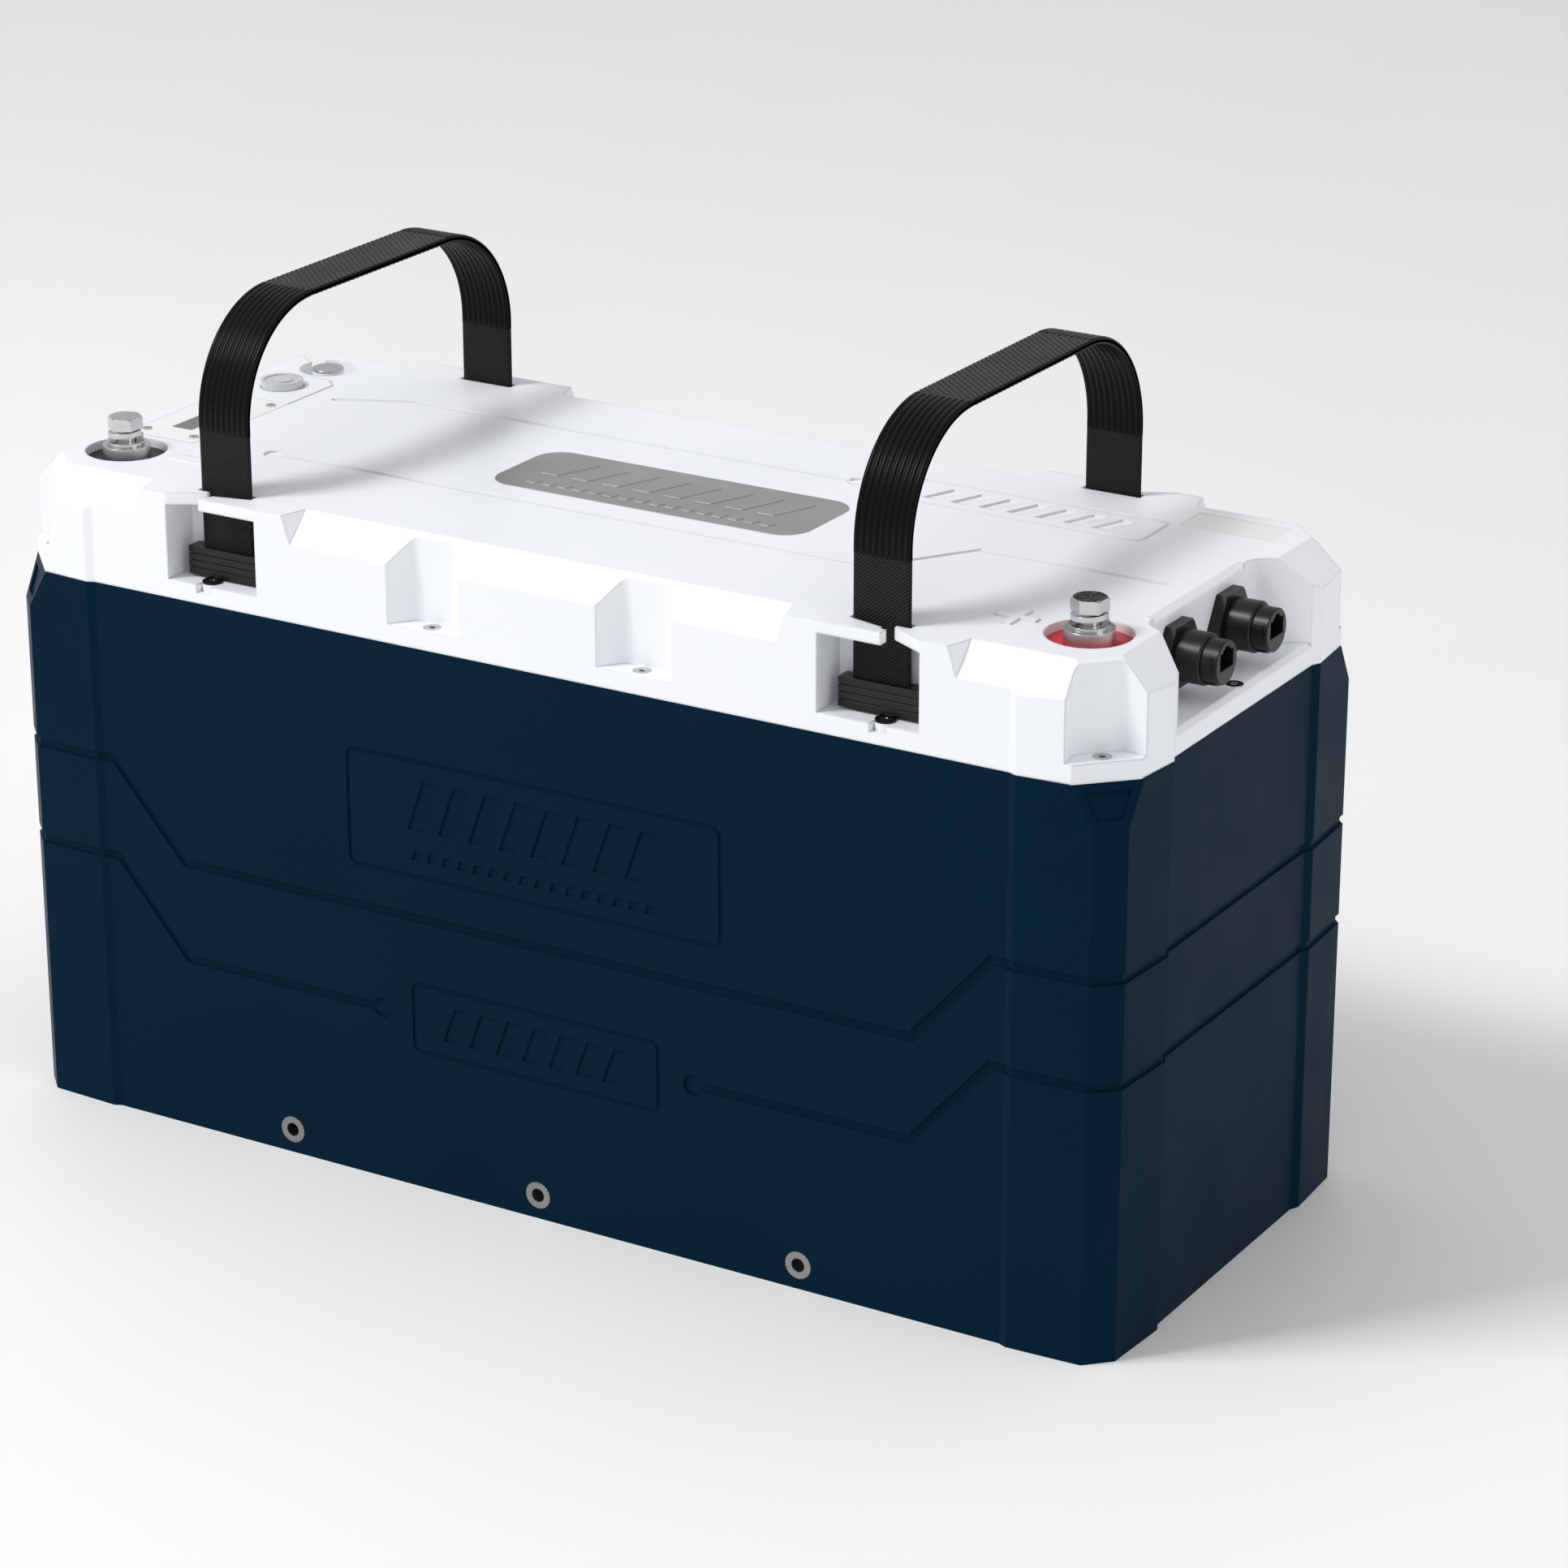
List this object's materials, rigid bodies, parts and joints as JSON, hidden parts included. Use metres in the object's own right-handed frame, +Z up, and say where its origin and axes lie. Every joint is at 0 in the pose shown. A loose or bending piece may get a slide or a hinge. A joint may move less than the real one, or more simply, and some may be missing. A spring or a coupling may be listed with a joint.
{
  "type": "deep cycle battery",
  "caption": "Rectangular boxed battery with screwed lid, webbing lift handles, bolted top terminals, control panel and end network ports.",
  "frame": {"origin": "middle of the underside of the case", "axes": "+X along the length towards the end with the network ports, -Y the long front with the badges, +Z up"},
  "size_m": [0.53, 0.217, 0.3634],
  "materials": {
    "case_plastic": "fine moulded texture",
    "lid_plastic": "fine moulded texture",
    "black_rubber": "smooth",
    "steel": "plated",
    "black_steel": "black oxide",
    "nameplate_metal": "satin",
    "label_paper": "printed film",
    "panel_film": "printed film",
    "window_film": "smoked",
    "circuit_board": "solder mask",
    "button_clear": "ringed",
    "spring_steel": "bright",
    "black_plastic": "moulded",
    "red_plastic": "moulded",
    "post_metal": "tinned",
    "contact_metal": "gold plated",
    "webbing": "woven",
    "grip_rubber": "ribbed",
    "cell_film": "wrapped film",
    "spacer_board": "plain",
    "aluminium_plate": "milled",
    "copper_link": "plated copper",
    "foam": "closed-cell foam",
    "heater_film": "film",
    "red_cable": "insulated",
    "black_cable": "insulated",
    "ribbon": "flat ribbon"
  },
  "bodies": {
    "shell": {"case": "case_plastic", "lid": "lid_plastic", "lid_gasket": "black_rubber", "lid_screws": "steel", "pocket_screws": "steel", "pocket_washers": "black_steel", "front_inserts": "steel", "back_inserts": "steel", "nameplate": "nameplate_metal", "end_label": "label_paper", "control_panel": "panel_film", "panel_screws": "steel", "display_window": "window_film", "display_board": "circuit_board", "button_bezel": "lid_plastic", "button_spring": "spring_steel", "switch_board": "circuit_board", "negative_well": "black_plastic", "positive_well": "red_plastic", "negative_post": "post_metal", "positive_post": "post_metal", "terminal_bolts": "steel", "spring_washers": "steel", "flat_washers": "steel", "vent_plug": "lid_plastic", "vent_cap": "steel", "port_bodies": "black_plastic", "port_nuts": "black_plastic", "port_gaskets": "black_rubber", "port_jacks": "contact_metal", "lower_cells": "cell_film", "upper_cells": "cell_film", "cell_spacers": "spacer_board", "end_plates": "aluminium_plate", "pack_bands": "steel", "lower_links": "copper_link", "upper_links": "copper_link", "layer_tray": "black_plastic", "base_pad": "foam", "heater_mats": "heater_film", "bms_board": "circuit_board", "bms_heatsink": "aluminium_plate", "bms_transistors": "black_plastic", "positive_lead": "red_cable", "negative_lead": "black_cable", "sense_harness": "ribbon", "port_board": "circuit_board"},
    "left_handle": {"left_webbing": "webbing", "left_grip": "grip_rubber", "left_front_anchor": "black_plastic", "left_back_anchor": "black_plastic"},
    "right_handle": {"right_webbing": "webbing", "right_grip": "grip_rubber", "right_front_anchor": "black_plastic", "right_back_anchor": "black_plastic"},
    "button": {"power_button": "button_clear"}
  },
  "joints": [
    {"name": "left_handle_lift", "type": "slide", "parent": "shell", "child": "left_handle", "axis": [0, 0, 1], "range_m": [0, 0.0188]},
    {"name": "right_handle_lift", "type": "slide", "parent": "shell", "child": "right_handle", "axis": [0, 0, 1], "range_m": [0, 0.0188]},
    {"name": "power_button_press", "type": "slide", "parent": "shell", "child": "button", "axis": [0, 0, -1], "range_m": [0, 0.0015], "stiffness_N_per_m": 300, "springref_m": -0.002, "deforming": ["button_spring"]}
  ]
}
